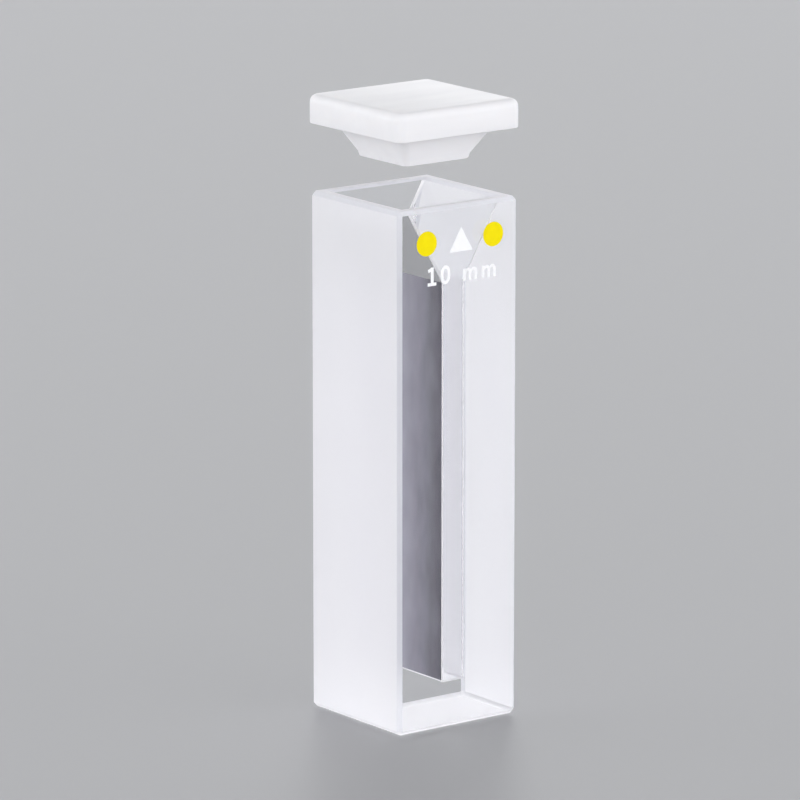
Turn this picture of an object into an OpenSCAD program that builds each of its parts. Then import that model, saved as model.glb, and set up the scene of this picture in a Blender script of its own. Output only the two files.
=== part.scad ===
// Narrow-chamber cuvette for measuring a small volume of liquid, with its lid.
//
// The cell is fused from five plates of clear quartz: a polished window at the front and
// the back, two side walls that leave a narrow chamber between them, and a base block
// under both walls. The side walls lean back near the rim and make a funnel. The lid is
// one piece of white fluoropolymer: a square flange, and a tapered plug that drops into
// the mouth. It is drawn lifted off, straight above the rim.
//
// X runs across the cell, Y along the light path and Z up. The origin is at the middle
// of the cell's underside. All sizes are in millimetres.

/* [Cell] */
// Width of the cell, across its two ground sides
cell_w = 12.5; // [9:0.1:16]
// Height of the cell, from its foot to its rim
cell_h = 45; // [30:0.5:60]
// Light path: the distance between the windows' inner faces
light_path = 10; // [5:0.1:20]
// Thickness of each window
window_t = 1.25; // [0.8:0.05:2]
// Thickness of the base block, which is also the height of the chamber's floor
base_t = 3.7; // [1.5:0.1:8]

/* [Chamber and mouth] */
// Width of the chamber, between the two side walls
chamber_w = 2.3; // [1:0.1:5]
// Thickness that each side wall keeps at the rim
rim_wall = 1.25; // [0.8:0.05:2]
// Lean of the funnel's slopes, in degrees from upright
funnel_angle = 30; // [20:1:45]

/* [Bevels] */
// Bevel along the cell's four upright edges
upright_bevel = 0.32; // [0.1:0.02:0.6]
// Bevel round the outside of the rim and of the foot
rim_bevel = 0.34; // [0.1:0.02:0.6]
// How far the cut across each of the eight outer corners reaches along the edges
corner_dub = 0.7; // [0.5:0.05:1.2]
// Bevel round the inside of the mouth
mouth_bevel = 0.22; // [0.1:0.02:0.4]

/* [Lid] */
// Thickness of the lid's flange
flange_t = 2.5; // [1.5:0.05:4]
// How far the flange stands out past each side of the cell
flange_overhang = 0.25; // [0:0.05:2]
// Radius of the flange's four upright corners
flange_corner_r = 0.9; // [0.8:0.05:2]
// Radius of the soft edge round the flange's top
flange_edge_r = 0.7; // [0.2:0.05:0.75]
// Length of the plug below the flange
plug_l = 2.7; // [1.5:0.1:4]
// Gap that the plug leaves on every side at the rim when the lid is seated
plug_clearance = 0.15; // [0.1:0.01:0.6]
// Depth of the flats along the plug's four corners
plug_flat = 0.35; // [0.05:0.05:0.6]
// Length of the nearly straight tip at the plug's lower end
tip_l = 0.42; // [0.2:0.02:0.6]
// How much each side of that tip still narrows on its way down
tip_draft = 0.1; // [0:0.01:0.2]
// Height of the lid's underside above the rim, as it is drawn lifted off
lid_lift = 5.8; // [0:0.1:20]

/* [Hidden] */
$fn = 48;

// How far a cutting shape runs past the faces that it cuts through
over = 1;

// Depth of the cell along the light path, over both windows
cell_d = light_path + 2 * window_t;
// Width of the mouth between the side walls' rims; its depth is the light path
mouth_w = cell_w - 2 * rim_wall;
// Height of the funnel, from the chamber's top to the rim
funnel_h = (mouth_w - chamber_w) / 2 / tan(funnel_angle);
// Depth of the cutter that bevels the mouth: the bevel runs deeper on a leaning wall
mouth_cut_h = 3 * mouth_bevel;

// Outside of the flange
flange_w = cell_w + 2 * flange_overhang;
flange_d = cell_d + 2 * flange_overhang;
// Outside of the plug where it meets the flange
plug_w = mouth_w - 2 * plug_clearance;
plug_d = light_path - 2 * plug_clearance;
// The plug's taper follows the funnel's slopes down to the tip
taper_l = plug_l - tip_l;
taper_in = taper_l * tan(funnel_angle);

quartz_colour = [0.80, 0.85, 0.92, 0.45];
ground_colour = [0.93, 0.93, 0.96];
lid_colour = [0.97, 0.97, 0.98];

// Draws an XZ outline as a bar of length l along Y, centred on the light path
module along_y(l) {
    rotate([90, 0, 0]) linear_extrude(l, center = true) children();
}

// Draws a YZ outline as a bar of length l across the cell
module along_x(l) {
    rotate([90, 0, 90]) linear_extrude(l, center = true) children();
}

// Rectangle w wide that stands on the X axis, with its four corners bevelled
module bevelled_outline(w, h, bevel) {
    polygon([
        [-w / 2 + bevel, 0],
        [w / 2 - bevel, 0],
        [w / 2, bevel],
        [w / 2, h - bevel],
        [w / 2 - bevel, h],
        [-w / 2 + bevel, h],
        [-w / 2, h - bevel],
        [-w / 2, bevel]
    ]);
}

// Cubes that cut the eight outer corners off the cell, each one square to its corner
module corner_cutters() {
    side = 4 * corner_dub;
    for (x = [-1, 1], y = [-1, 1], z = [-1, 1])
        translate([x * cell_w / 2, y * cell_d / 2, (1 + z) * cell_h / 2])
            rotate([0, acos(z / sqrt(3)), atan2(y, x)])
                translate([-side / 2, -side / 2, -corner_dub / sqrt(3)]) cube(side);
}

// Solid block with the cell's finished outside, every outer edge and corner bevelled
module bevelled_block() {
    difference() {
        intersection() {
            linear_extrude(cell_h)
                translate([0, -cell_d / 2]) bevelled_outline(cell_w, cell_d, upright_bevel);
            along_y(cell_d + 2 * over) bevelled_outline(cell_w, cell_h, rim_bevel);
            along_x(cell_w + 2 * over) bevelled_outline(cell_d, cell_h, rim_bevel);
        }
        corner_cutters();
    }
}

// Section of the mouth's cutter: it opens upwards at 45 degrees, past an opening w wide
module flare_outline(w) {
    at_rim = w / 2 + mouth_bevel;
    polygon([
        [-at_rim + mouth_cut_h, cell_h - mouth_cut_h],
        [at_rim - mouth_cut_h, cell_h - mouth_cut_h],
        [at_rim + over, cell_h + over],
        [-at_rim - over, cell_h + over]
    ]);
}

// Cutter that bevels the inside of the mouth on all four sides, with mitred corners
module mouth_cutter() {
    intersection() {
        along_y(cell_d + 4 * over) flare_outline(mouth_w);
        along_x(cell_w + 4 * over) flare_outline(light_path);
    }
}

// Takes the part of the finished cell that lies inside the child shape
module cell_piece() {
    difference() {
        intersection() {
            bevelled_block();
            children();
        }
        mouth_cutter();
    }
}

// Window on the +Y side, a flat plate over the full width and height of the cell
module window() {
    cell_piece()
        translate([-cell_w / 2 - over, light_path / 2, -over])
            cube([cell_w + 2 * over, window_t + over, cell_h + 2 * over]);
}

// Side wall on the +X side: upright along the chamber, leaning back to the rim above it
module side_wall() {
    cell_piece()
        along_y(light_path)
            polygon([
                [chamber_w / 2, base_t],
                [cell_w / 2 + over, base_t],
                [cell_w / 2 + over, cell_h + over],
                [mouth_w / 2 + over * tan(funnel_angle), cell_h + over],
                [chamber_w / 2, cell_h - funnel_h]
            ]);
}

// Section of the flange, w wide, with its two upper corners rounded
module soft_outline(w) {
    translate([-w / 2, 0]) square([w, flange_t - flange_edge_r]);
    translate([-w / 2 + flange_edge_r, 0]) square([w - 2 * flange_edge_r, flange_t]);
    for (x = [-1, 1])
        translate([x * (w / 2 - flange_edge_r), flange_t - flange_edge_r])
            circle(flange_edge_r);
}

// One corner of the flange: a short round post with the same soft upper edge
module flange_corner() {
    rotate_extrude()
        intersection() {
            soft_outline(2 * flange_corner_r);
            square([flange_corner_r + over, flange_t + over]);
        }
}

// Square flange with round corners and a soft upper edge, standing on Z = 0
module flange() {
    along_y(flange_d - 2 * flange_corner_r) soft_outline(flange_w);
    along_x(flange_w - 2 * flange_corner_r) soft_outline(flange_d);
    for (x = [-1, 1], y = [-1, 1])
        translate([x * (flange_w / 2 - flange_corner_r), y * (flange_d / 2 - flange_corner_r), 0])
            flange_corner();
}

// Section of the plug below Z = 0 and of its root in the flange above. It is half_w to
// each side at the flange, and slant times as steep as the section along the cell's sides
module plug_outline(half_w, slant) {
    shoulder = half_w - slant * taper_in;
    end = shoulder - slant * tip_draft;
    polygon([
        [-half_w, flange_t / 2],
        [-half_w, 0],
        [-shoulder, -taper_l],
        [-end, -plug_l],
        [end, -plug_l],
        [shoulder, -taper_l],
        [half_w, 0],
        [half_w, flange_t / 2]
    ]);
}

// Tapered plug with a nearly straight tip and flats cut along its four corners
module plug() {
    half_diagonal = (plug_w + plug_d) / 2 / sqrt(2) - plug_flat;
    intersection() {
        along_y(plug_d + over) plug_outline(plug_w / 2, 1);
        along_x(plug_w + over) plug_outline(plug_d / 2, 1);
        for (turn = [45, 135])
            rotate([0, 0, turn])
                along_y(plug_w + plug_d) plug_outline(half_diagonal, sqrt(2));
    }
}

module front_window() {
    color(quartz_colour) mirror([0, 1, 0]) window();
}

module back_window() {
    color(quartz_colour) window();
}

module left_wall() {
    color(ground_colour) mirror([1, 0, 0]) side_wall();
}

module right_wall() {
    color(ground_colour) side_wall();
}

module base_block() {
    color(quartz_colour)
        cell_piece()
            translate([-cell_w / 2 - over, -light_path / 2, -over])
                cube([cell_w + 2 * over, light_path, base_t + over]);
}

module lid() {
    color(lid_colour)
        translate([0, 0, cell_h + lid_lift]) {
            flange();
            plug();
        }
}

front_window();
back_window();
left_wall();
right_wall();
base_block();
lid();
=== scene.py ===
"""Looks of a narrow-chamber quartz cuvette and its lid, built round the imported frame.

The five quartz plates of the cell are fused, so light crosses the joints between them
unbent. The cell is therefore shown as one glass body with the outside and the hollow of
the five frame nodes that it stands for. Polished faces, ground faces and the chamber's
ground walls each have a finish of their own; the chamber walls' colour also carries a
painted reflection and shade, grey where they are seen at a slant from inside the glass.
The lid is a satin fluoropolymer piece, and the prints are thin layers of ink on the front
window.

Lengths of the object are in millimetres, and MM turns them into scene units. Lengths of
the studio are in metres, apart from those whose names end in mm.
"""

from __future__ import annotations

import logging
import math
from collections.abc import Callable
from dataclasses import dataclass
from enum import Enum
from itertools import product

import bmesh
import bpy
from mathutils import Matrix, Vector

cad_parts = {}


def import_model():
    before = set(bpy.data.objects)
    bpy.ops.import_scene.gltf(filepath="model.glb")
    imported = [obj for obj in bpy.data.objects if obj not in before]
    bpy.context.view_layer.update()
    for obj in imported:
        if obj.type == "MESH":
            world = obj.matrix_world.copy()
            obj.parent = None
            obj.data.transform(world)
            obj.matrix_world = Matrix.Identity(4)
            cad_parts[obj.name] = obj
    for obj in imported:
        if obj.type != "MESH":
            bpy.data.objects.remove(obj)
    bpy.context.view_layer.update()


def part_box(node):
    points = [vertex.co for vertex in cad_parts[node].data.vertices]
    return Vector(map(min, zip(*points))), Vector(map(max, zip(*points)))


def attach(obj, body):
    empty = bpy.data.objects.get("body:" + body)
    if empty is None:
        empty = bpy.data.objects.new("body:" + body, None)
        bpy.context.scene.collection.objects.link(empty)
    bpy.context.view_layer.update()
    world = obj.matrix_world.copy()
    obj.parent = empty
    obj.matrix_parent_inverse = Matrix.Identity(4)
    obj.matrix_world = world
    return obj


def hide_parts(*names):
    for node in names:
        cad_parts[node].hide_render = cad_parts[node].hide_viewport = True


MM = 0.001
LOG = logging.getLogger("cuvette")

# How far from its place, in millimetres, an edge or a face may lie and still be found
NEAR = 0.01
# Part of a direction along one axis: at least SQUARE runs along it, below LEVEL across it
SQUARE = 0.999
LEVEL = 0.01
# Least angle between two faces, in radians, that makes a bevel at their edge
FLAT = 0.01
# Numbers of the Mix node's sockets for the first colour, the second and the result
FIRST_COLOUR, SECOND_COLOUR, MIXED_COLOUR = 6, 7, 2

Triple = tuple[float, float, float]
Colour = Triple


# ----------------------------------------------------------------------------- node helpers


def new_material(name: str) -> tuple[bpy.types.Material, bpy.types.Node]:
    """Makes an empty node material with one Principled shader on its output.

    Args:
        name: The material's name.

    Returns:
        The material and its Principled node.
    """
    material = bpy.data.materials.new(name)
    material.use_nodes = True
    tree = material.node_tree
    tree.nodes.clear()
    output = tree.nodes.new("ShaderNodeOutputMaterial")
    shader = tree.nodes.new("ShaderNodeBsdfPrincipled")
    tree.links.new(shader.outputs["BSDF"], output.inputs["Surface"])
    return material, shader


def fill_socket(
    tree: bpy.types.NodeTree, socket: bpy.types.NodeSocket, value: object
) -> None:
    """Gives an input socket its value.

    Args:
        tree: The node tree that the socket is in.
        socket: The input.
        value: An output socket to link it to, or the value to set on it.
    """
    if isinstance(value, bpy.types.NodeSocket):
        tree.links.new(value, socket)
    else:
        socket.default_value = value


def add_node(tree: bpy.types.NodeTree, kind: str, **inputs: object) -> bpy.types.Node:
    """Adds a node and fills its inputs.

    Args:
        tree: The node tree that gets the node.
        kind: The node's type, such as "ShaderNodeBump".
        **inputs: A value or an output socket for each input, with spaces as underscores.

    Returns:
        The new node.
    """
    node = tree.nodes.new(kind)
    for key, value in inputs.items():
        fill_socket(tree, node.inputs[key.replace("_", " ")], value)
    return node


def object_coordinates(tree: bpy.types.NodeTree) -> bpy.types.NodeSocket:
    """Gives the socket with a piece's own Object coordinates, in metres."""
    return tree.nodes.new("ShaderNodeTexCoord").outputs["Object"]


def calculate(
    tree: bpy.types.NodeTree,
    operation: str,
    first: bpy.types.NodeSocket | float,
    second: bpy.types.NodeSocket | float = 0.0,
) -> bpy.types.NodeSocket:
    """Adds a Math node.

    Args:
        tree: The node tree that gets the node.
        operation: The node's operation, such as "MULTIPLY".
        first: The first number or its socket.
        second: The second number or its socket, for an operation that has one.

    Returns:
        The result's socket.
    """
    node = tree.nodes.new("ShaderNodeMath")
    node.operation = operation
    fill_socket(tree, node.inputs[0], first)
    fill_socket(tree, node.inputs[1], second)
    return node.outputs["Value"]


def ramp(
    tree: bpy.types.NodeTree,
    value: bpy.types.NodeSocket,
    low: float,
    high: float,
    start: float = 0.0,
    end: float = 1.0,
) -> bpy.types.NodeSocket:
    """Maps a value from one range to another, held at both ends.

    Args:
        tree: The node tree that gets the node.
        value: The value to map.
        low: The value that becomes start.
        high: The value that becomes end.
        start: The result at low and below.
        end: The result at high and above.

    Returns:
        The mapped value.
    """
    limits = {"From_Min": low, "From_Max": high, "To_Min": start, "To_Max": end}
    return add_node(tree, "ShaderNodeMapRange", Value=value, **limits).outputs["Result"]


def blend_colours(
    tree: bpy.types.NodeTree,
    share: bpy.types.NodeSocket,
    first: Colour | bpy.types.NodeSocket,
    second: Colour | bpy.types.NodeSocket,
) -> bpy.types.NodeSocket:
    """Blends two colours.

    Args:
        tree: The node tree that gets the node.
        share: How much of the second colour there is, held between 0 and 1.
        first: The colour where share is 0.
        second: The colour where share is 1.

    Returns:
        The blended colour.
    """
    node = tree.nodes.new("ShaderNodeMix")
    node.data_type = "RGBA"
    tree.links.new(share, node.inputs["Factor"])
    for number, colour in ((FIRST_COLOUR, first), (SECOND_COLOUR, second)):
        plain = isinstance(colour, tuple)
        fill_socket(tree, node.inputs[number], (*colour, 1) if plain else colour)
    return node.outputs[MIXED_COLOUR]


def new_group(
    name: str, inputs: dict[str, float | Triple], outputs: tuple[str, ...]
) -> bpy.types.NodeTree:
    """Makes an empty shader node group with named sockets.

    Args:
        name: The group's name.
        inputs: Each input's name and default value: a number or three of them.
        outputs: The name of each output, all of them numbers.

    Returns:
        The group's tree, with its input and output nodes in place.
    """
    tree = bpy.data.node_groups.new(name, "ShaderNodeTree")
    for key, value in inputs.items():
        kind = "NodeSocketVector" if isinstance(value, tuple) else "NodeSocketFloat"
        socket = tree.interface.new_socket(key, in_out="INPUT", socket_type=kind)
        socket.default_value = value
    for key in outputs:
        tree.interface.new_socket(key, in_out="OUTPUT", socket_type="NodeSocketFloat")
    tree.nodes.new("NodeGroupInput")
    tree.nodes.new("NodeGroupOutput")
    return tree


# ----------------------------------------------------------------------------- mesh helpers


def standing_block(size: Vector) -> bmesh.types.BMesh:
    """Starts a shape from a block.

    Args:
        size: The block's size along X, Y and Z.

    Returns:
        The block, which stands on Z = 0 with its middle on the Z axis.
    """
    bm = bmesh.new()
    bmesh.ops.create_cube(bm, size=1.0)
    bmesh.ops.scale(bm, vec=size, verts=bm.verts)
    bmesh.ops.translate(bm, vec=(0, 0, size.z / 2), verts=bm.verts)
    return bm


def finish_piece(bm: bmesh.types.BMesh, name: str, body: str) -> bpy.types.Object:
    """Turns a bmesh in millimetres into a piece that rides on a body.

    Args:
        bm: The finished shape, which is freed here.
        name: The piece's name.
        body: The name of the body that it moves with.

    Returns:
        The new object, which sits at the origin.
    """
    bmesh.ops.scale(bm, vec=(MM, MM, MM), verts=bm.verts)
    bmesh.ops.recalc_face_normals(bm, faces=bm.faces)
    mesh = bpy.data.meshes.new(name)
    bm.to_mesh(mesh)
    bm.free()
    piece = bpy.data.objects.new(name, mesh)
    bpy.context.scene.collection.objects.link(piece)
    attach(piece, body)
    return piece


def sink(
    bm: bmesh.types.BMesh, face: bmesh.types.BMFace, depth: float, shrink: tuple[float, float]
) -> bmesh.types.BMFace:
    """Extrudes a level face straight down and narrows it about the Z axis.

    Args:
        bm: The shape that the face is on.
        face: The face to move.
        depth: How far down it goes.
        shrink: The share of its size along X and along Y that it keeps.

    Returns:
        The face at the new place.
    """
    made = bmesh.ops.extrude_face_region(bm, geom=[face])["geom"]
    bmesh.ops.delete(bm, geom=[face], context="FACES_ONLY")
    verts = [v for v in made if isinstance(v, bmesh.types.BMVert)]
    bmesh.ops.scale(bm, vec=(shrink[0], shrink[1], 1), verts=verts)
    bmesh.ops.translate(bm, vec=(0, 0, -depth), verts=verts)
    return next(f for f in made if isinstance(f, bmesh.types.BMFace))


def bevel_where(
    bm: bmesh.types.BMesh, test: Callable[[bmesh.types.BMEdge], bool], width: float, segments: int = 1
) -> None:
    """Bevels the edges that pass a test, apart from those between faces in one plane.

    Args:
        bm: The shape to change.
        test: Says which edges to bevel.
        width: How far the bevel reaches on each side of the edge.
        segments: How many faces the bevel has; more than one makes it round.
    """
    bmesh.ops.bevel(
        bm,
        geom=[e for e in bm.edges if test(e) and e.calc_face_angle(0.0) > FLAT],
        offset=width,
        offset_type="OFFSET",
        segments=segments,
        profile=0.5,
        affect="EDGES",
        material=-1,
        clamp_overlap=True,
    )


def slice_off(bm: bmesh.types.BMesh, corner: Vector, way: Vector, reach: float) -> None:
    """Cuts the solid with a plane near one of its corners or edges and closes the cut.

    Args:
        bm: The shape to change.
        corner: A corner of the shape, or a point on the edge, before it is cut.
        way: The plane's normal as whole numbers, each of them -1, 0 or 1.
        reach: How far from the corner the plane meets the edges that run into it.
    """
    everything = [*bm.verts, *bm.edges, *bm.faces]
    place = corner - reach * way / way.length_squared
    cut = bmesh.ops.bisect_plane(bm, geom=everything, plane_co=place, plane_no=way, clear_outer=True)
    rim = [e for e in cut["geom_cut"] if isinstance(e, bmesh.types.BMEdge)]
    bmesh.ops.contextual_create(bm, geom=rim)


def middle(edge: bmesh.types.BMEdge) -> Vector:
    """Gives the middle of an edge."""
    return (edge.verts[0].co + edge.verts[1].co) / 2


def rise(edge: bmesh.types.BMEdge) -> float:
    """Gives how steep an edge is, from 0 where it is level to 1 where it is upright."""
    return abs((edge.verts[1].co - edge.verts[0].co).normalized().z)


# ----------------------------------------------------------------------------- finishes


class Face(Enum):
    """How a face of the cell is finished. The value is its material slot's number."""

    POLISHED = 0
    GROUND = 1
    UPRIGHT_BEVEL = 2
    LEVEL_BEVEL = 3
    CHAMBER = 4
    SEAM = 5
    FOOT = 6


@dataclass(frozen=True)
class SurfaceGrain:
    """Node group with the soft clouds and the fine grain that working a surface leaves.

    Each material places the group with its own sizes, in millimetres, and its own stretch
    of the pattern along X, Y and Z.
    """

    cloud_size: float
    grain_size: float
    stretch: Triple = (1.0, 1.0, 1.0)

    NAME = "surface_grain"
    # How many finer layers the noise adds to its larger spots
    DETAIL = 2.5
    # The part of the noise's values that fills a mask from 0 to 1
    MASK_RANGE = (0.3, 0.7)

    def place(self, tree: bpy.types.NodeTree) -> bpy.types.Node:
        """Places the group in a material.

        Args:
            tree: The material's node tree.

        Returns:
            The group's node, with the outputs Clouds, Grain and Height, each about 0 to 1.
        """
        node = tree.nodes.new("ShaderNodeGroup")
        node.node_tree = bpy.data.node_groups.get(self.NAME) or self._build()
        node.inputs["Cloud Size"].default_value = self.cloud_size
        node.inputs["Grain Size"].default_value = self.grain_size
        node.inputs["Stretch"].default_value = self.stretch
        return node

    @classmethod
    def _build(cls) -> bpy.types.NodeTree:
        """Builds the group's tree.

        Returns:
            The tree, which turns sizes in millimetres into two masks and a height.
        """
        inputs = {"Cloud Size": 5.0, "Grain Size": 0.3, "Stretch": (1.0, 1.0, 1.0)}
        tree = new_group(cls.NAME, inputs, ("Clouds", "Grain", "Height"))
        given = next(n for n in tree.nodes if n.type == "GROUP_INPUT").outputs
        result = next(n for n in tree.nodes if n.type == "GROUP_OUTPUT").inputs
        at = tree.nodes.new("ShaderNodeVectorMath")
        at.operation = "DIVIDE"
        tree.links.new(object_coordinates(tree), at.inputs[0])
        tree.links.new(given["Stretch"], at.inputs[1])
        clouds = cls._spots(tree, at.outputs["Vector"], given["Cloud Size"])
        grain = cls._spots(tree, at.outputs["Vector"], given["Grain Size"])
        tree.links.new(ramp(tree, clouds, *cls.MASK_RANGE), result["Clouds"])
        tree.links.new(ramp(tree, grain, *cls.MASK_RANGE), result["Grain"])
        tree.links.new(grain, result["Height"])
        return tree

    @classmethod
    def _spots(
        cls, tree: bpy.types.NodeTree, at: bpy.types.NodeSocket, size: bpy.types.NodeSocket
    ) -> bpy.types.NodeSocket:
        """Adds a noise pattern whose larger spots have a given size.

        Args:
            tree: The group's tree.
            at: The coordinates that the pattern reads, in metres.
            size: The spots' size in millimetres.

        Returns:
            The pattern's value, about 0 to 1 with a mean of 0.5.
        """
        pattern = add_node(tree, "ShaderNodeTexNoise", Vector=at, Detail=cls.DETAIL)
        tree.links.new(calculate(tree, "DIVIDE", 1 / MM, size), pattern.inputs["Scale"])
        return pattern.outputs["Fac"]


@dataclass(frozen=True)
class PolishedQuartz:
    """Clear fused quartz with an optical polish."""

    name: str = "polished_quartz"
    ior: float = 1.4585
    tint: Colour = (0.985, 0.99, 1.0)
    roughness: float = 0.0

    def material(self) -> bpy.types.Material:
        """Builds the material.

        Returns:
            The new material.
        """
        material, shader = new_material(self.name)
        shader.inputs["Base Color"].default_value = (*self.tint, 1)
        shader.inputs["Transmission Weight"].default_value = 1.0
        shader.inputs["Roughness"].default_value = self.roughness
        shader.inputs["IOR"].default_value = self.ior
        return material


@dataclass(frozen=True)
class GrainedFinish:
    """A surface whose tone drifts in soft clouds and whose gloss follows a fine grain."""

    name: str
    tone: Colour
    cloud_tone: Colour
    roughness: tuple[float, float]
    grain: SurfaceGrain
    grain_depth: float
    ior: float
    specular_level: float = 0.5

    BUMP_STRENGTH = 0.4

    def material(self) -> bpy.types.Material:
        """Builds the material.

        Returns:
            The new material.
        """
        material, shader = new_material(self.name)
        tree = material.node_tree
        grain = self.grain.place(tree)
        colour = self._colour(tree, grain.outputs["Clouds"])
        bump = add_node(
            tree,
            "ShaderNodeBump",
            Height=grain.outputs["Height"],
            Strength=self.BUMP_STRENGTH,
            Distance=self.grain_depth * MM,
        )
        gloss = ramp(tree, grain.outputs["Grain"], 0.0, 1.0, *self.roughness)
        tree.links.new(colour, shader.inputs["Base Color"])
        tree.links.new(gloss, shader.inputs["Roughness"])
        tree.links.new(bump.outputs["Normal"], shader.inputs["Normal"])
        shader.inputs["IOR"].default_value = self.ior
        shader.inputs["Specular IOR Level"].default_value = self.specular_level
        self._complete(tree, shader, colour, bump.outputs["Normal"])
        return material

    def _colour(self, tree: bpy.types.NodeTree, clouds: bpy.types.NodeSocket) -> bpy.types.NodeSocket:
        """Gives the surface's colour, where clouds is the cloud mask from 0 to 1."""
        return blend_colours(tree, clouds, self.tone, self.cloud_tone)

    def _complete(
        self,
        tree: bpy.types.NodeTree,
        shader: bpy.types.Node,
        colour: bpy.types.NodeSocket,
        normal: bpy.types.NodeSocket,
    ) -> None:
        """Sets what only one kind of surface has, which here is nothing."""


@dataclass(frozen=True)
class GroundQuartz(GrainedFinish):
    """Quartz with a fine ground face: part of the light scatters back, part goes through.

    clear_share is the part of the Principled light that crosses the face as through
    frosted glass, and glow_share is the part of all the light that crosses it diffusely.
    """

    name: str = "ground_quartz"
    tone: Colour = (0.99, 0.982, 1.0)
    cloud_tone: Colour = (0.97, 0.962, 0.985)
    roughness: tuple[float, float] = (0.5, 0.6)
    grain: SurfaceGrain = SurfaceGrain(cloud_size=5.0, grain_size=0.15, stretch=(1.0, 1.0, 2.2))
    grain_depth: float = 0.012
    ior: float = 1.4585
    clear_share: float = 0.22
    glow_share: float = 0.45

    def _complete(
        self,
        tree: bpy.types.NodeTree,
        shader: bpy.types.Node,
        colour: bpy.types.NodeSocket,
        normal: bpy.types.NodeSocket,
    ) -> None:
        """Lets light through the face.

        Args:
            tree: The material's node tree.
            shader: Its Principled node.
            colour: The surface's colour.
            normal: The surface's normal with its grain.
        """
        shader.inputs["Transmission Weight"].default_value = self.clear_share
        glow = add_node(tree, "ShaderNodeBsdfTranslucent", Color=colour, Normal=normal)
        both = tree.nodes.new("ShaderNodeMixShader")
        both.inputs["Fac"].default_value = self.glow_share
        tree.links.new(shader.outputs["BSDF"], both.inputs[1])
        tree.links.new(glow.outputs["BSDF"], both.inputs[2])
        output = next(n for n in tree.nodes if n.type == "OUTPUT_MATERIAL")
        tree.links.new(both.outputs["Shader"], output.inputs["Surface"])


@dataclass(frozen=True)
class ChamberQuartzWithPaintedShade(GroundQuartz):
    """A ground chamber wall whose colour carries a painted reflection and shade: grey at a slant through the
    glass behind it.

    Past the glass's critical angle such a face mirrors the room more than it scatters
    light, and less so towards the back window. The colour paints this as a grey: a painted
    reflection, darkest at the front window, whose lightening towards the back window is
    painted shade. Only a ray bent on its way into the glass shows that painted grey. Light
    that was scattered or mirrored before meets the wall at all angles and keeps the plain tone.
    """

    name: str = "ground_chamber_painted_shade"
    roughness: tuple[float, float] = (0.4, 0.5)
    grain: SurfaceGrain = SurfaceGrain(cloud_size=3.0, grain_size=0.15, stretch=(1.0, 1.0, 1.5))
    clear_share: float = 0.18
    glow_share: float = 0.35
    # Painted reflection and shade: the grey at the front window and at the back window, and how far clouds
    # shift it
    front_painted_shade: Colour = (0.03, 0.025, 0.05)
    back_painted_shade: Colour = (0.38, 0.365, 0.44)
    shade_cloud_depth: float = 0.22
    wall_l: float = 10.0

    def _colour(self, tree: bpy.types.NodeTree, clouds: bpy.types.NodeSocket) -> bpy.types.NodeSocket:
        """Gives the face's colour, with a painted reflection and shade that make it greyer where it is seen
        at a slant from inside the glass.

        Args:
            tree: The material's node tree.
            clouds: The cloud mask, from 0 to 1.

        Returns:
            The colour's socket.
        """
        place = add_node(tree, "ShaderNodeSeparateXYZ", Vector=object_coordinates(tree))
        half = self.wall_l / 2 * MM
        # Painted shade: the grey lightens from the front window towards the back window
        depth = ramp(tree, place.outputs["Y"], -half, half)
        drift = ramp(tree, clouds, 0.0, 1.0, -self.shade_cloud_depth / 2, self.shade_cloud_depth / 2)
        painted_shade_share = calculate(tree, "ADD", depth, drift)
        painted_grey = blend_colours(tree, painted_shade_share, self.front_painted_shade, self.back_painted_shade)
        # Painted reflection: the grey shows where the Fresnel factor is high, on a bent ray seen from inside
        # the glass
        mirror = add_node(tree, "ShaderNodeFresnel", IOR=self.ior)
        inside = tree.nodes.new("ShaderNodeNewGeometry").outputs["Backfacing"]
        ray = tree.nodes.new("ShaderNodeLightPath").outputs
        unspread = calculate(tree, "SUBTRACT", 1.0, ray["Is Diffuse Ray"])
        refracted = calculate(tree, "MULTIPLY", ray["Is Transmission Ray"], unspread)
        from_inside = calculate(tree, "MULTIPLY", inside, refracted)
        share = calculate(tree, "MULTIPLY", mirror.outputs["Fac"], from_inside)
        return blend_colours(tree, share, super()._colour(tree, clouds), painted_grey)


@dataclass(frozen=True)
class Fluoropolymer(GrainedFinish):
    """Satin white fluoropolymer, a little waxy and with faint milling marks."""

    name: str = "white_fluoropolymer"
    tone: Colour = (0.835, 0.825, 0.835)
    cloud_tone: Colour = (0.80, 0.79, 0.805)
    roughness: tuple[float, float] = (0.36, 0.46)
    grain: SurfaceGrain = SurfaceGrain(cloud_size=2.0, grain_size=0.2, stretch=(5.0, 1.0, 1.0))
    grain_depth: float = 0.015
    ior: float = 1.36
    specular_level: float = 0.2
    waxiness: float = 0.2
    wax_depth: float = 0.8
    wax_reach: Triple = (1.0, 0.9, 0.8)

    def _complete(
        self,
        tree: bpy.types.NodeTree,
        shader: bpy.types.Node,
        colour: bpy.types.NodeSocket,
        normal: bpy.types.NodeSocket,
    ) -> None:
        """Lets light soak into the surface.

        Args:
            tree: The material's node tree.
            shader: Its Principled node.
            colour: The surface's colour.
            normal: The surface's normal with its grain.
        """
        shader.inputs["Subsurface Weight"].default_value = self.waxiness
        shader.inputs["Subsurface Radius"].default_value = self.wax_reach
        shader.inputs["Subsurface Scale"].default_value = self.wax_depth * MM


@dataclass(frozen=True)
class PrintInk(GrainedFinish):
    """Fired ink on the window: opaque, a little uneven in tone and gloss."""

    roughness: tuple[float, float] = (0.4, 0.55)
    grain: SurfaceGrain = SurfaceGrain(cloud_size=0.8, grain_size=0.3)
    grain_depth: float = 0.008
    ior: float = 1.3
    specular_level: float = 0.2


# ----------------------------------------------------------------------------- the object


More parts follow.
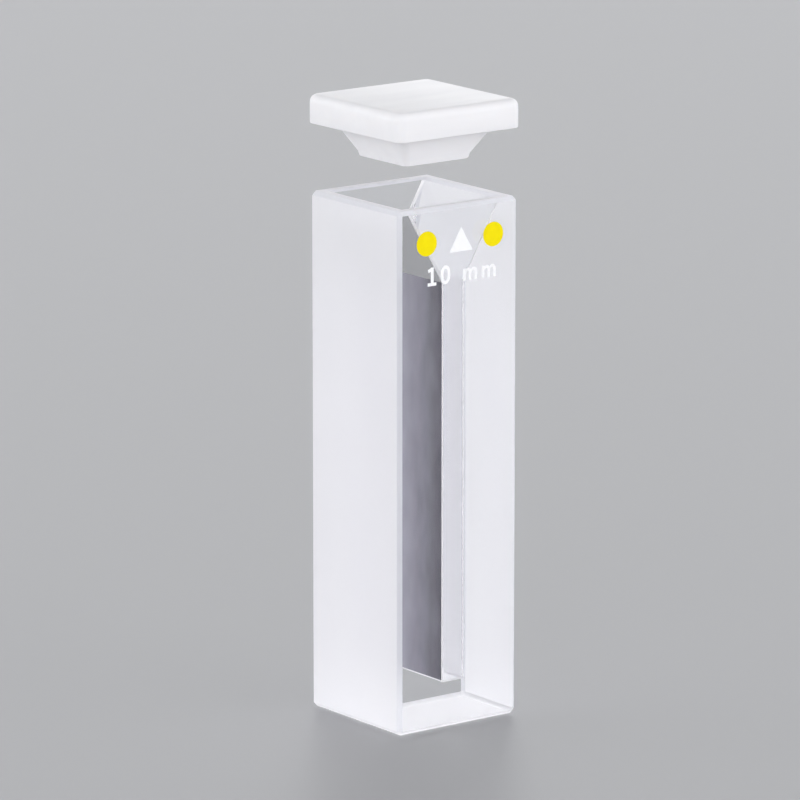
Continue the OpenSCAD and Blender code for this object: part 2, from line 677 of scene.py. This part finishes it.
@dataclass
class Cell:
    """The fused quartz cell."""

    size: Vector
    light_path: float
    chamber_w: float
    base_t: float
    rim_wall: float = 1.25
    funnel_angle: float = 30.0
    upright_bevel: float = 0.32
    rim_bevel: float = 0.34
    mouth_bevel: float = 0.22
    corner_dub: float = 0.7
    seam_bevel: float = 0.2

    PLATES = ("front_window", "back_window", "left_wall", "right_wall", "base_block")
    # How many faces go across a seam's bevel
    SEAM_FACES = 2
    # The steepness above which an edge of the hollow runs up a wall or a slope
    STEEP = 0.5
    # The largest short seam face, in square millimetres; the long upright ones are polished
    SHORT_SEAM_AREA = 4.0
    # How much of a bevel's normal points up or down where it isn't an upright bevel
    LEAN = 0.1

    @classmethod
    def from_frame(cls) -> Cell:
        """Reads the cell's sizes off its plates.

        Returns:
            The cell, in the frame's sizes.
        """
        boxes = {name: [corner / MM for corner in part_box(name)] for name in cls.PLATES}
        low = Vector(min(box[0][i] for box in boxes.values()) for i in range(3))
        high = Vector(max(box[1][i] for box in boxes.values()) for i in range(3))
        return cls(
            size=high - low,
            light_path=boxes["back_window"][0].y - boxes["front_window"][1].y,
            chamber_w=boxes["right_wall"][0].x - boxes["left_wall"][1].x,
            base_t=boxes["base_block"][1].z,
        )

    @property
    def mouth_w(self) -> float:
        """Width of the mouth between the side walls' rims."""
        return self.size.x - 2 * self.rim_wall

    @property
    def funnel_h(self) -> float:
        """Height of the funnel above the chamber."""
        return (self.mouth_w - self.chamber_w) / 2 / math.tan(math.radians(self.funnel_angle))

    @property
    def chamber_top(self) -> float:
        """Height at which the chamber ends and the funnel starts."""
        return self.size.z - self.funnel_h

    def build(self) -> bpy.types.Object:
        """Builds the glass body and gives it its finishes.

        Returns:
            The finished piece.
        """
        bm = standing_block(self.size)
        self._hollow(bm)
        self._ease_edges(bm)
        for face in bm.faces:
            face.material_index = self._finish_of(face).value
        piece = finish_piece(bm, "quartz_cell", "cell")
        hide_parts(*self.PLATES)
        self._dress(piece)
        return piece

    def _hollow(self, bm: bmesh.types.BMesh) -> None:
        """Sinks the mouth, the funnel and the chamber into the block's top.

        Args:
            bm: The plain block.
        """
        top = max(bm.faces, key=lambda f: f.calc_center_median().z)
        mouth = sink(bm, top, 0.0, (self.mouth_w / self.size.x, self.light_path / self.size.y))
        chamber = sink(bm, mouth, self.funnel_h, (self.chamber_w / self.mouth_w, 1.0))
        sink(bm, chamber, self.chamber_top - self.base_t, (1.0, 1.0))
        bmesh.ops.dissolve_edges(bm, edges=[e for e in bm.edges if self._divides_window(e)])

    def _divides_window(self, edge: bmesh.types.BMEdge) -> bool:
        """Says whether an edge parts the funnel's and the chamber's faces on a window."""
        at = middle(edge)
        return abs(at.z - self.chamber_top) < NEAR and self._on_window(at)

    def _on_window(self, at: Vector) -> bool:
        """Says whether a point lies on the inner face of a window."""
        return abs(abs(at.y) - self.light_path / 2) < NEAR

    def _ease_edges(self, bm: bmesh.types.BMesh) -> None:
        """Bevels the outer edges and corners, the mouth and the seams of the chamber.

        Args:
            bm: The block with its hollow.
        """
        half = self.size / 2
        centre = Vector((0, 0, half.z))
        for way in (Vector(w) for w in product((-1, 0, 1), repeat=3)):
            axes = int(way.length_squared)
            if axes == 3:
                slice_off(bm, centre + way * half, way, self.corner_dub)
            elif axes == 2:
                slice_off(bm, centre + way * half, way, self.rim_bevel if way.z else self.upright_bevel)
        bevel_where(bm, self._at_mouth, self.mouth_bevel)
        bevel_where(bm, self._at_seam, self.seam_bevel, self.SEAM_FACES)

    def _at_mouth(self, edge: bmesh.types.BMEdge) -> bool:
        """Says whether an edge runs round the mouth.

        Args:
            edge: An edge of the cell.

        Returns:
            True for the four level edges where the hollow meets the rim.
        """
        at = middle(edge)
        inside = abs(at.x) < self.mouth_w / 2 + NEAR and abs(at.y) < self.light_path / 2 + NEAR
        return rise(edge) < LEVEL and at.z > self.size.z - NEAR and inside

    def _at_seam(self, edge: bmesh.types.BMEdge) -> bool:
        """Says whether an edge is a seam of the hollow.

        Args:
            edge: An edge of the cell.

        Returns:
            True for the edges between a wall and a window, and round the chamber's floor.
        """
        at = middle(edge)
        climbs = rise(edge) > self.STEEP and self._on_window(at) and abs(at.x) < self.mouth_w / 2
        return climbs or abs(at.z - self.base_t) < NEAR

    def _finish_of(self, face: bmesh.types.BMFace) -> Face:
        """Says how a face of the body is finished, by where it lies and how it leans.

        Args:
            face: A face of the finished shape.

        Returns:
            The face's finish.
        """
        normal, at = face.normal, face.calc_center_median()
        if self._in_hollow(at):
            if face.calc_area() < self.SHORT_SEAM_AREA:
                return Face.SEAM
            return Face.CHAMBER if abs(normal.x) > SQUARE else Face.POLISHED
        if normal.z < -self.LEAN:
            return Face.FOOT
        if max(abs(part) for part in normal) < SQUARE:
            return Face.LEVEL_BEVEL if normal.z > self.LEAN else Face.UPRIGHT_BEVEL
        return Face.POLISHED if abs(normal.y) > SQUARE else Face.GROUND

    def _in_hollow(self, at: Vector) -> bool:
        """Says whether a face's middle lies in the hollow, below the bevel round the mouth."""
        across = abs(at.x) < self.mouth_w / 2 - NEAR and abs(at.y) < self.light_path / 2 + NEAR
        return across and self.base_t - NEAR < at.z < self.size.z - self.mouth_bevel

    def _dress(self, piece: bpy.types.Object) -> None:
        """Gives the body one material for each kind of face.

        Args:
            piece: The glass body, whose faces know their slots' numbers.
        """
        finishes = {
            Face.POLISHED: PolishedQuartz(),
            Face.GROUND: GroundQuartz(),
            Face.UPRIGHT_BEVEL: GroundQuartz(
                "upright_bevel",
                tone=(0.90, 0.90, 0.94),
                cloud_tone=(0.86, 0.86, 0.91),
                clear_share=0.4,
                glow_share=0.3,
            ),
            Face.LEVEL_BEVEL: GroundQuartz(
                "level_bevel",
                tone=(0.91, 0.91, 0.94),
                cloud_tone=(0.87, 0.87, 0.91),
                clear_share=0.2,
                glow_share=0.3,
            ),
            # Chamber walls: ground finish with a painted reflection and shade in their colour
            Face.CHAMBER: ChamberQuartzWithPaintedShade(wall_l=self.light_path),
            Face.SEAM: GroundQuartz("seam", tone=(0.99, 0.99, 0.99), clear_share=0.05, glow_share=0.05),
            Face.FOOT: GroundQuartz(
                "ground_foot",
                cloud_tone=(0.98, 0.98, 0.99),
                clear_share=0.0,
                glow_share=0.4,
                specular_level=0.0,
            ),
        }
        for face in Face:
            piece.data.materials.append(finishes[face].material())


@dataclass
class Lid:
    """The square lid: a flange with soft edges and a tapered plug.

    The flange is 0.005 mm thinner than its solid in the frame, so that its underside
    keeps clear of the rim when the lid is seated.
    """

    size: Vector
    underside_z: float
    flange_t: float = 2.495
    plug_w: float = 9.7
    tip_l: float = 0.42
    tip_draft: float = 0.1
    taper_angle: float = 30.0
    corner_r: float = 0.9
    edge_r: float = 0.7
    lower_edge_r: float = 0.12
    plug_corner_r: float = 0.6

    # How many faces go round each kind of soft edge
    CORNER_FACES = 7
    PLUG_CORNER_FACES = 4
    EDGE_FACES = 6
    LOWER_EDGE_FACES = 3
    # Steepness of the plug's corner edges, at the least
    PLUG_STEEP = 0.3
    # The sharpest turn, in degrees, that is still shaded as round
    SOFT_TURN = 35

    @classmethod
    def from_frame(cls) -> Lid:
        """Reads the lid's place and outside off its node in the frame."""
        low, high = (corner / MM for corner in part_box("lid"))
        return cls(size=high - low, underside_z=high.z - cls.flange_t)

    @property
    def plug_l(self) -> float:
        """Length of the plug below the flange."""
        return self.size.z - self.flange_t

    def build(self) -> bpy.types.Object:
        """Builds the lid and gives it its finish.

        Returns:
            The finished piece.
        """
        bm = standing_block(Vector((self.size.x, self.size.y, self.flange_t)))
        self._add_plug(bm)
        bevel_where(bm, self._at_flange_corner, self.corner_r, self.CORNER_FACES)
        bevel_where(bm, self._at_plug_corner, self.plug_corner_r, self.PLUG_CORNER_FACES)
        bevel_where(bm, self._at_top_edge, self.edge_r, self.EDGE_FACES)
        bevel_where(bm, self._at_lower_edge, self.lower_edge_r, self.LOWER_EDGE_FACES)
        bmesh.ops.translate(bm, vec=(0, 0, self.underside_z), verts=bm.verts)
        piece = finish_piece(bm, "lid_moulding", "lid")
        piece.data.shade_smooth()
        piece.data.set_sharp_from_angle(angle=math.radians(self.SOFT_TURN))
        piece.data.materials.append(Fluoropolymer().material())
        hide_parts("lid")
        return piece

    def _add_plug(self, bm: bmesh.types.BMesh) -> None:
        """Draws the plug down out of the flange's underside.

        Args:
            bm: The flange as a plain block.
        """
        taper_l = self.plug_l - self.tip_l
        shoulder_w = self.plug_w - 2 * taper_l * math.tan(math.radians(self.taper_angle))
        end_w = shoulder_w - 2 * self.tip_draft
        under = min(bm.faces, key=lambda f: f.calc_center_median().z)
        root = sink(bm, under, 0.0, (self.plug_w / self.size.x, self.plug_w / self.size.y))
        shoulder = sink(bm, root, taper_l, (shoulder_w / self.plug_w,) * 2)
        sink(bm, shoulder, self.tip_l, (end_w / shoulder_w,) * 2)

    def _at_flange_corner(self, edge: bmesh.types.BMEdge) -> bool:
        """Says whether an edge is an upright corner of the flange."""
        return rise(edge) > SQUARE and abs(middle(edge).x) > self.size.x / 2 - NEAR

    def _at_plug_corner(self, edge: bmesh.types.BMEdge) -> bool:
        """Says whether an edge runs down a corner of the plug."""
        at = middle(edge)
        return rise(edge) > self.PLUG_STEEP and at.z < 0 and abs(abs(at.x) - abs(at.y)) < NEAR

    def _at_top_edge(self, edge: bmesh.types.BMEdge) -> bool:
        """Says whether an edge runs round the flange's top."""
        return rise(edge) < LEVEL and middle(edge).z > self.flange_t - NEAR

    def _at_lower_edge(self, edge: bmesh.types.BMEdge) -> bool:
        """Says whether an edge runs round the flange's underside or the plug's end.

        Args:
            edge: An edge of the lid, while the flange's underside is at Z = 0.

        Returns:
            True for the outer edges of the flange's underside and for those of the plug's end.
        """
        at = middle(edge)
        past_plug = max(abs(at.x), abs(at.y)) > self.plug_w / 2 + NEAR
        on_flange = abs(at.z) < NEAR and past_plug
        return rise(edge) < LEVEL and (on_flange or at.z < -self.plug_l + NEAR)


@dataclass
class WindowPrint:
    """The marks printed on the front window.

    Their places are along X and Z on the window, whose outer face is at window_y.
    """

    window_y: float
    dot_d: float = 2.1
    dot_x: tuple[float, float] = (-3.4, 3.6)
    mark_z: float = 42.05
    triangle_x: float = 0.2
    triangle_r: float = 1.4
    text_x: float = 0.3
    text_z: float = 39.1
    text_cap_h: float = 1.5
    text_weight: float = 0.05
    text_spacing: float = 1.3
    stroke_w: float = 0.27
    flag_l: float = 0.34
    foot_l: float = 0.38
    ink_t: float = 0.02
    ink_gap: float = 0.002

    # How many sides each round dot has
    DOT_SIDES = 64
    # The distance below which two points of the figures are one
    WELD = 0.001
    # The height of a typeface's capitals, as a share of its size
    CAP_SHARE = 0.7
    # The share of the ink's thickness that the added strokes have, so that no faces coincide
    STROKE_INK = 0.9
    # Turns a shape drawn in the XY plane to stand in the XZ plane and face -Y
    UPRIGHT = Matrix.Rotation(math.pi / 2, 4, "X")

    def _press(self, bm: bmesh.types.BMesh, name: str, ink: PrintInk) -> bpy.types.Object:
        """Thickens flat marks that face -Y in the XZ plane and sets them on the window.

        Args:
            bm: The marks, in the plane Y = 0.
            name: The piece's name.
            ink: The ink that it is printed with.

        Returns:
            The finished piece.
        """
        made = bmesh.ops.extrude_face_region(bm, geom=list(bm.faces))["geom"]
        verts = [v for v in made if isinstance(v, bmesh.types.BMVert)]
        bmesh.ops.translate(bm, vec=(0, -self.ink_t, 0), verts=verts)
        bmesh.ops.translate(bm, vec=(0, self.window_y - self.ink_gap, 0), verts=bm.verts)
        return self._inked(bm, name, ink)

    @staticmethod
    def _inked(bm: bmesh.types.BMesh, name: str, ink: PrintInk) -> bpy.types.Object:
        """Makes a piece of finished marks and gives it its ink.

        Args:
            bm: The marks at their place on the window.
            name: The piece's name.
            ink: The ink that it is printed with.

        Returns:
            The finished piece.
        """
        piece = finish_piece(bm, name, "cell")
        piece.data.materials.append(ink.material())
        return piece

    def dots(self, ink: PrintInk) -> bpy.types.Object:
        """Builds the two round dots.

        Args:
            ink: The ink that they are printed with.

        Returns:
            The finished piece.
        """
        bm = bmesh.new()
        for x in self.dot_x:
            place = Matrix.Translation((x, 0, self.mark_z)) @ self.UPRIGHT
            radius = self.dot_d / 2
            bmesh.ops.create_circle(bm, cap_ends=True, segments=self.DOT_SIDES, radius=radius, matrix=place)
        return self._press(bm, "yellow_dots", ink)

    def triangle(self, ink: PrintInk) -> bpy.types.Object:
        """Builds the plain triangle between the dots.

        Args:
            ink: The ink that it is printed with.

        Returns:
            The finished piece.
        """
        bm = bmesh.new()
        # Half the triangle's height is a quarter of its radius above its centre
        centre_z = self.mark_z - self.triangle_r / 4
        place = Matrix.Translation((self.triangle_x, 0, centre_z)) @ self.UPRIGHT
        bmesh.ops.create_circle(bm, cap_ends=True, segments=3, radius=self.triangle_r, matrix=place)
        return self._press(bm, "triangle_mark", ink)

    def path_length(self, ink: PrintInk) -> bpy.types.Object:
        """Builds the plain number that gives the light path.

        Args:
            ink: The ink that it is printed with.

        Returns:
            The finished piece.
        """
        bm = self._figures()
        bmesh.ops.remove_doubles(bm, verts=bm.verts, dist=self.WELD)
        flatten = self.ink_t / (2 * self.text_weight)
        bmesh.ops.scale(bm, vec=(1, 1, flatten), verts=bm.verts)
        self._serif_the_one(bm)
        ahead = self.window_y - self.ink_gap - self.ink_t / 2
        place = Matrix.Translation((self.text_x, ahead, self.text_z)) @ self.UPRIGHT
        bmesh.ops.transform(bm, matrix=place, verts=bm.verts)
        return self._inked(bm, "path_length_mark", ink)

    def _figures(self) -> bmesh.types.BMesh:
        """Sets the number in a plain typeface.

        Returns:
            The figures and letters in the XY plane, text_weight thick on each side of it.
        """
        curve = bpy.data.curves.new("path_length", "FONT")
        curve.body = "10 mm"
        curve.align_x = "CENTER"
        curve.align_y = "CENTER"
        curve.size = self.text_cap_h / self.CAP_SHARE
        curve.space_character = self.text_spacing
        curve.bevel_depth = self.text_weight
        curve.bevel_resolution = 1
        letters = bpy.data.objects.new("path_length", curve)
        bpy.context.scene.collection.objects.link(letters)
        bpy.context.view_layer.update()
        solid = bpy.data.meshes.new_from_object(letters)
        bpy.data.objects.remove(letters)
        bm = bmesh.new()
        bm.from_mesh(solid)
        bpy.data.meshes.remove(solid)
        return bm

    def _serif_the_one(self, bm: bmesh.types.BMesh) -> None:
        """Gives the number's first figure, a bare stroke, its flag and its foot.

        Args:
            bm: The flat figures, in the XY plane.
        """
        left = min(v.co.x for v in bm.verts)
        stem = [v.co for v in bm.verts if v.co.x < left + self.stroke_w]
        low, high = min(at.y for at in stem), max(at.y for at in stem)
        mid = left + self.stroke_w / 2
        foot_y = low + self.stroke_w / 2
        strokes = (
            ((mid - self.foot_l, foot_y), (mid + self.foot_l, foot_y)),
            ((mid, high - self.stroke_w / 2), (mid - self.flag_l, high - self.stroke_w)),
        )
        for start, end in strokes:
            run = Vector(end) - Vector(start)
            turn = Matrix.Rotation(math.atan2(run.y, run.x), 4, "Z")
            place = Matrix.Translation(((start[0] + end[0]) / 2, (start[1] + end[1]) / 2, 0)) @ turn
            size = (run.length + self.stroke_w / 2, self.stroke_w, self.ink_t * self.STROKE_INK)
            bmesh.ops.create_cube(bm, size=1.0, matrix=place @ Matrix.Diagonal((*size, 1)))


# ----------------------------------------------------------------------------- the studio


@dataclass(frozen=True)
class SoftBox:
    """A soft rectangular studio lamp that shines at the cell's middle."""

    name: str
    place: Triple
    size: tuple[float, float]
    power: float

    def build(self, target: Vector) -> None:
        """Hangs the lamp in the scene.

        Args:
            target: The point that it shines at.
        """
        light = bpy.data.lights.new(self.name, "AREA")
        light.shape = "RECTANGLE"
        light.size, light.size_y = self.size
        light.energy = self.power
        lamp = bpy.data.objects.new(self.name, light)
        lamp.location = self.place
        lamp.rotation_euler = (target - lamp.location).to_track_quat("-Z", "Y").to_euler()
        lamp.visible_camera = False
        bpy.context.scene.collection.objects.link(lamp)


@dataclass(frozen=True)
class Studio:
    """A plain pale floor in a plain soft studio.

    The room's light is the same from every side. It is strongest low down all round, like
    a ring of soft boxes behind the floor's edge, and falls to a plain level above that.
    The foot stands on a faint light pad, as on a light table, so that the cell's base
    isn't darker than its sides.
    """

    floor_tone: Colour = (0.40, 0.40, 0.41)
    floor_roughness: float = 0.5
    floor_size: float = 6.0
    floor_gap_mm: float = 0.05
    room_tone: Colour = (0.97, 0.98, 1.0)
    room_level: float = 0.45
    ring_level: float = 4.4
    ring_height: float = 0.5
    boxes: tuple[SoftBox, ...] = (
        SoftBox("front_box", place=(0.20, -0.60, 0.18), size=(0.4, 0.24), power=0.2),
        SoftBox("top_box", place=(-0.1, -0.05, 0.65), size=(0.5, 0.5), power=0.08),
        SoftBox("light_pad", place=(0.0, 0.0, -0.02 * MM), size=(12.2 * MM, 12.2 * MM), power=0.0004),
    )

    def build(self, target: Vector) -> None:
        """Builds the floor, the room's light and the lamps.

        Args:
            target: The point that the lamps shine at.
        """
        self._floor()
        self._room()
        for box in self.boxes:
            box.build(target)

    def _floor(self) -> None:
        """Lays the floor under the part."""
        bm = bmesh.new()
        bmesh.ops.create_grid(bm, x_segments=1, y_segments=1, size=self.floor_size / 2)
        bmesh.ops.translate(bm, vec=(0, 0, -self.floor_gap_mm * MM), verts=bm.verts)
        mesh = bpy.data.meshes.new("floor")
        bm.to_mesh(mesh)
        bm.free()
        floor = bpy.data.objects.new("floor", mesh)
        bpy.context.scene.collection.objects.link(floor)
        material, shader = new_material("floor")
        shader.inputs["Base Color"].default_value = (*self.floor_tone, 1)
        shader.inputs["Roughness"].default_value = self.floor_roughness
        mesh.materials.append(material)

    def _room(self) -> None:
        """Fills the room with soft light from all round."""
        world = bpy.data.worlds.new("studio")
        world.use_nodes = True
        tree = world.node_tree
        background = tree.nodes["Background"]
        background.inputs["Color"].default_value = (*self.room_tone, 1)
        way = tree.nodes.new("ShaderNodeTexCoord").outputs["Generated"]
        upward = add_node(tree, "ShaderNodeSeparateXYZ", Vector=way).outputs["Z"]
        height = calculate(tree, "ABSOLUTE", upward)
        level = ramp(tree, height, 0.0, self.ring_height, self.ring_level, self.room_level)
        tree.links.new(level, background.inputs["Strength"])
        bpy.context.scene.world = world


@dataclass(frozen=True)
class Viewpoint:
    """Where the camera stands, round the point that it is aimed at."""

    aim_mm: Triple = (-0.33, 1.48, 26.92)
    azimuth: float = -37.13
    elevation: float = 12.82
    distance_mm: float = 538.2
    lens_mm: float = 285.3
    sensor_mm: float = 36.0
    nearest: float = 0.01

    def build(self) -> None:
        """Sets up the scene's camera."""
        turn, tilt = math.radians(self.azimuth), math.radians(self.elevation)
        forward = Vector((-math.sin(turn) * math.cos(tilt), math.cos(turn) * math.cos(tilt), -math.sin(tilt)))
        data = bpy.data.cameras.new("camera")
        data.sensor_width = self.sensor_mm
        data.lens = self.lens_mm
        data.clip_start = self.nearest
        camera = bpy.data.objects.new("camera", data)
        camera.location = (Vector(self.aim_mm) - forward * self.distance_mm) * MM
        camera.rotation_euler = forward.to_track_quat("-Z", "Y").to_euler()
        bpy.context.scene.collection.objects.link(camera)
        bpy.context.scene.camera = camera


# ----------------------------------------------------------------------------- the build


def main() -> None:
    """Builds the cell, the lid, the prints and the studio round the frame."""
    logging.basicConfig(level=logging.INFO, format="%(name)s: %(message)s")
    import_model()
    bpy.context.scene.view_settings.view_transform = "Standard"

    cell = Cell.from_frame()
    prints = WindowPrint(window_y=-cell.size.y / 2)
    yellow = PrintInk("yellow_ink", tone=(0.89, 0.74, 0.0), cloud_tone=(0.86, 0.70, 0.0))
    white = PrintInk("white_ink", tone=(0.93, 0.93, 0.94), cloud_tone=(0.89, 0.89, 0.90))
    pieces = (
        cell.build(),
        Lid.from_frame().build(),
        prints.dots(yellow),
        prints.triangle(white),
        prints.path_length(white),
    )
    for piece in pieces:
        LOG.info("built %s with %d faces", piece.name, len(piece.data.polygons))

    Studio().build(Vector((0, 0, cell.size.z / 2 * MM)))
    Viewpoint().build()


if __name__ == "__main__":
    main()
